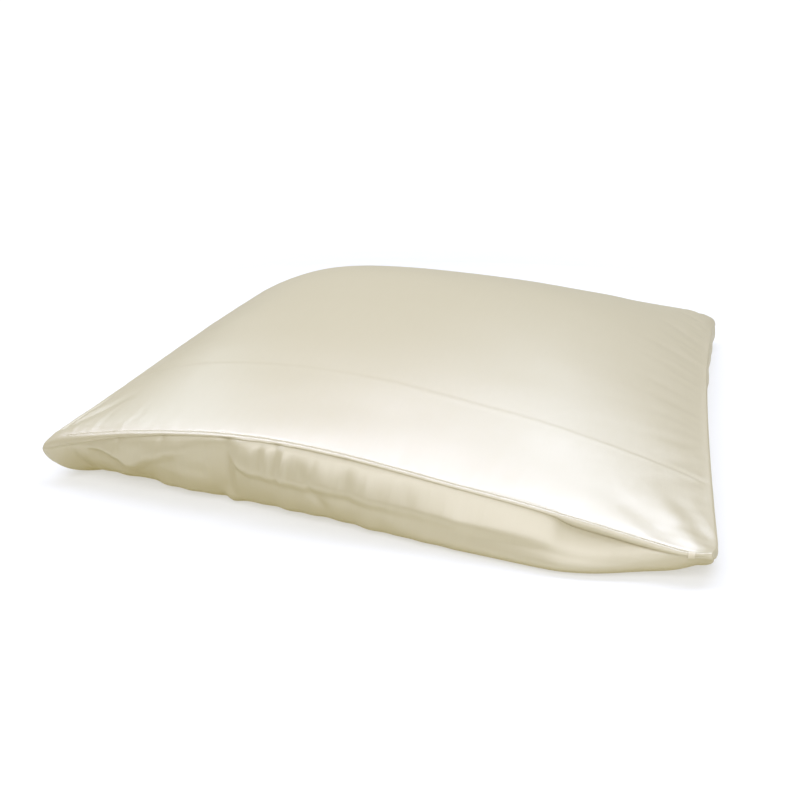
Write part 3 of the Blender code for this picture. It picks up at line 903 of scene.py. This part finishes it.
def weave_group():
    """Satin weave: long floats in a staggered brick pattern. Out come the threads' height and a slow
    streak along the threads."""
    group, given, out = new_group(
        "satin_weave",
        (("Vector", "Vector", None), ("Threads per metre", "Float", 4000.0)),
        (("Height", "Float"), ("Streak", "Float")),
    )
    vector = given["Vector"]
    floats = {"Mortar Size": 0.12, "Mortar Smooth": 1.0, "Brick Width": 4.0, "Row Height": 1.0}
    floats["Vector"] = mapped(group, vector, Rotation=(0, 0, np.pi / 2))
    floats["Scale"] = given["Threads per metre"]
    bricks = add_node(group, "TexBrick", floats, offset=0.4)
    height = math_node(group, "SUBTRACT", 1.0, bricks["Fac"])
    streak = noise(group, mapped(group, vector, Scale=STREAKS_PER_METRE), 1.0, Detail=2.0)
    set_inputs(group, out, {"Height": height, "Streak": streak})
    return group


def tone_group():
    """Colour that drifts over the cloth: between a dark and a light colour by slow noise and by a
    streak, and a matching drift for roughness."""
    colours = ("Light", "Color", (1, 1, 1, 1)), ("Dark", "Color", (1, 1, 1, 1))
    numbers = ("Scale", "Float", 12.0), ("Streak", "Float", 0.5), ("Roughness", "Float", 0.4)
    inputs = ("Vector", "Vector", None), *colours, *numbers
    group, given, out = new_group("cloth_tone", inputs, (("Color", "Color"), ("Roughness", "Float")))
    slow = noise(group, given["Vector"], given["Scale"], Detail=3.0, Roughness=0.55)
    drift = math_node(group, "MULTIPLY_ADD", slow, 0.7, 0.15)
    share = math_node(group, "MULTIPLY_ADD", math_node(group, "SUBTRACT", given["Streak"], 0.5), 0.35, drift)
    colour = mix_colours(group, share, given["Dark"], given["Light"])
    even = math_node(group, "SUBTRACT", share, 0.5)
    rough = math_node(group, "MULTIPLY_ADD", even, -0.06, given["Roughness"])
    set_inputs(group, out, {"Color": colour, "Roughness": rough})
    return group


def crease_group():
    """Fine creases that geometry leaves out: noise stretched along the threads."""
    group, given, out = new_group(
        "fine_creases",
        (("Vector", "Vector", None), ("Scale", "Float", 60.0)),
        (("Height", "Float"),),
    )
    stretched = mapped(group, given["Vector"], Scale=(1.0, 0.45, 1.0))
    height = noise(group, stretched, given["Scale"], Detail=2.0, Roughness=0.4, Distortion=0.6)
    set_inputs(group, out, {"Height": height})
    return group


def new_material(name):
    """A material, its node tree and its Principled shader."""
    material = bpy.data.materials.new(name)
    material.use_nodes = True
    return material, material.node_tree, material.node_tree.nodes["Principled BSDF"]


def give_tone(tree, shader, group, look, vector, **more):
    """Colours a shader, and sets its roughness, from the tone group with a look's values."""
    drift = {"Light": look.light, "Dark": look.dark, "Scale": look.drift, "Roughness": look.roughness}
    tone = add_node(tree, "Group", {"Vector": vector, **drift, **more}, node_tree=group)
    set_inputs(tree, shader, {"Base Color": tone["Color"], "Roughness": tone["Roughness"]})


def satin_material(groups):
    """Ivory satin: drifting ivory under a strong, soft gloss, with threads and fine creases as bump."""
    material, tree, shader = new_material("ivory_satin")
    cloth = add_node(tree, "UVMap", uv_map="cloth")[0]
    threads = {"Vector": cloth, "Threads per metre": THREADS_PER_METRE}
    weave = add_node(tree, "Group", threads, node_tree=groups["weave"])
    place = add_node(tree, "TexCoord")["Object"]
    give_tone(tree, shader, groups["tone"], SATIN, place, Streak=weave["Streak"])
    fine = {"Vector": cloth, "Scale": CREASES_PER_METRE}
    crease = add_node(tree, "Group", fine, node_tree=groups["crease"])
    creased = bump(tree, crease["Height"], *CREASE_BUMP)
    woven = bump(tree, weave["Height"], *WEAVE_BUMP, Normal=creased)
    set_inputs(tree, shader, {"Normal": woven, "IOR": SATIN_IOR, "Specular IOR Level": 1.0})
    material.diffuse_color = SATIN.plain
    return material


def thread_material(groups):
    """Ivory sewing thread: the same drifting ivory, a little lighter, with its twist as bump."""
    material, tree, shader = new_material("ivory_thread")
    cloth = add_node(tree, "UVMap", uv_map="cloth")[0]
    give_tone(tree, shader, groups["tone"], THREAD, cloth)
    waved = {"Vector": cloth, "Scale": TWISTS_PER_METRE, "Distortion": 0.0}
    twist = add_node(tree, "TexWave", waved, bands_direction="DIAGONAL")["Fac"]
    twisted = bump(tree, twist, *TWIST_BUMP)
    set_inputs(tree, shader, {"Normal": twisted, "Specular IOR Level": 0.5})
    material.diffuse_color = THREAD.plain
    return material


def floor_material():
    """A plain pale diffuse floor, with a glow that only the camera sees and a warm light that only lifts
    the walls. It fades out at a distance into the white surround."""
    material, tree, shader = new_material("pale_floor")
    set_inputs(tree, shader, {"Base Color": (*FLOOR_WHITE, 1), "Roughness": 0.9, "Specular IOR Level": 0.0})
    glow = add_node(tree, "Emission", {"Strength": FLOOR_GLOW})[0]
    warm = {"Strength": FLOOR_LIFT, "Color": (*FLOOR_LIFT_COLOUR, 1)}
    lift = add_node(tree, "Emission", warm)[0]
    lit = add_node(tree, "AddShader", {0: shader.outputs[0], 1: glow})[0]
    lifted = add_node(tree, "AddShader", {0: shader.outputs[0], 1: lift})[0]
    by_camera = add_node(tree, "LightPath")["Is Camera Ray"]
    seen = add_node(tree, "MixShader", {0: by_camera, 1: lifted, 2: lit})[0]
    place = add_node(tree, "TexCoord")["Object"]
    far = add_node(tree, "VectorMath", {0: place}, operation="LENGTH")["Value"]
    span = {"Value": far, "From Min": FLOOR_FADE[0], "From Max": FLOOR_FADE[1]}
    fade = add_node(tree, "MapRange", span)[0]
    clear = add_node(tree, "BsdfTransparent")[0]
    shown = add_node(tree, "MixShader", {0: fade, 1: seen, 2: clear})[0]
    set_inputs(tree, tree.nodes["Material Output"], {"Surface": shown})
    return material


def add_floor():
    """A round flat floor under the case: rings around a fan."""
    turn = np.linspace(0, 2 * np.pi, 97)[:-1]
    radii = np.linspace(0, FLOOR_FADE[1], 9)[1:]
    ring = np.stack([np.cos(turn), np.sin(turn), 0 * turn], -1)
    points = np.concatenate([[[0.0, 0.0, 0.0]], (radii[:, None, None] * ring).reshape(-1, 3)])
    index = 1 + np.arange(len(radii) * len(turn)).reshape(len(radii), -1)
    fan = np.stack([0 * index[0], index[0], np.roll(index[0], -1)], -1)
    mesh = bpy.data.meshes.new("studio_floor")
    mesh.from_pydata(points.tolist(), [], ring_quads(index).tolist() + fan.tolist())
    mesh.materials.append(floor_material())
    floor = add_object("studio_floor", mesh)


def bearing(azimuth, elevation):
    """The unit vector that points that way: azimuth from +Y towards -X, elevation up."""
    azimuth, elevation = np.radians(azimuth), np.radians(elevation)
    flat = np.cos(elevation)
    return Vector((-np.sin(azimuth) * flat, np.cos(azimuth) * flat, np.sin(elevation)))


def add_area(name, given):
    """A soft rectangular light that faces its aim from its bearing."""
    light = bpy.data.lights.new(name, "AREA")
    light.shape = "RECTANGLE"
    light.size, light.size_y = given.size
    light.energy = given.power
    light.color = given.colour
    lamp = add_object(name, light)
    away = bearing(given.azimuth, given.elevation)
    lamp.location = Vector(given.aim) + away * given.distance
    lamp.rotation_euler = away.to_track_quat("Z", "Y").to_euler()


def add_world():
    """A plain white surround. It lights things with a warm tint, and not as brightly as it is seen."""
    world = bpy.data.worlds.new("white_surround")
    world.use_nodes = True
    tree = world.node_tree
    by_camera = add_node(tree, "LightPath")["Is Camera Ray"]
    colour = mix_colours(tree, by_camera, (*SURROUND_TINT, 1), (1, 1, 1, 1))
    strengths = {"Factor": by_camera, "A": SURROUND_LIGHT, "B": SURROUND_SEEN}
    strength = add_node(tree, "Mix", strengths, data_type="FLOAT")[0]
    set_inputs(tree, tree.nodes["Background"], {"Color": colour, "Strength": strength})
    bpy.context.scene.world = world


def add_camera():
    """The camera, at its distance behind the aim, looking level across the frame."""
    data = bpy.data.cameras.new("view")
    data.sensor_width = SENSOR
    data.sensor_fit = "HORIZONTAL"
    data.lens = CAMERA_LENS
    data.clip_start = 0.01
    data.clip_end = 60.0
    camera = add_object("view", data)
    forward = bearing(CAMERA_AZIMUTH, -CAMERA_ELEVATION)
    right = forward.cross(Vector((0, 0, 1))).normalized()
    up = right.cross(forward)
    turned = Matrix((right, up, -forward)).transposed().to_4x4()
    camera.matrix_world = Matrix.Translation(Vector(CAMERA_AIM) - forward * CAMERA_DISTANCE) @ turned
    bpy.context.scene.camera = camera


def main():
    """Sets the stage, then makes the cover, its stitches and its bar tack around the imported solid."""
    scene = bpy.context.scene
    scene.view_settings.view_transform = "Standard"
    scene.view_settings.look = "None"
    add_camera()
    add_world()
    add_floor()
    for name, light in LIGHTS.items():
        add_area(name, light)

    groups = {"weave": weave_group(), "tone": tone_group(), "crease": crease_group()}
    satin, thread = satin_material(groups), thread_material(groups)
    sheet_moves[:] = settle_sheet()
    points, faces, uv = cover_arrays()
    shift = frame_shift(points)
    cover = add_mesh("satin_cover", points + shift, faces, uv, satin)
    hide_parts("filled_case")
    stitches = add_mesh("hem_stitches", *stitch_arrays(shift), thread)
    tack = add_mesh("bar_tack", *tack_arrays(shift), thread)
    for piece in (cover, stitches, tack):
        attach(piece, "root")


main()
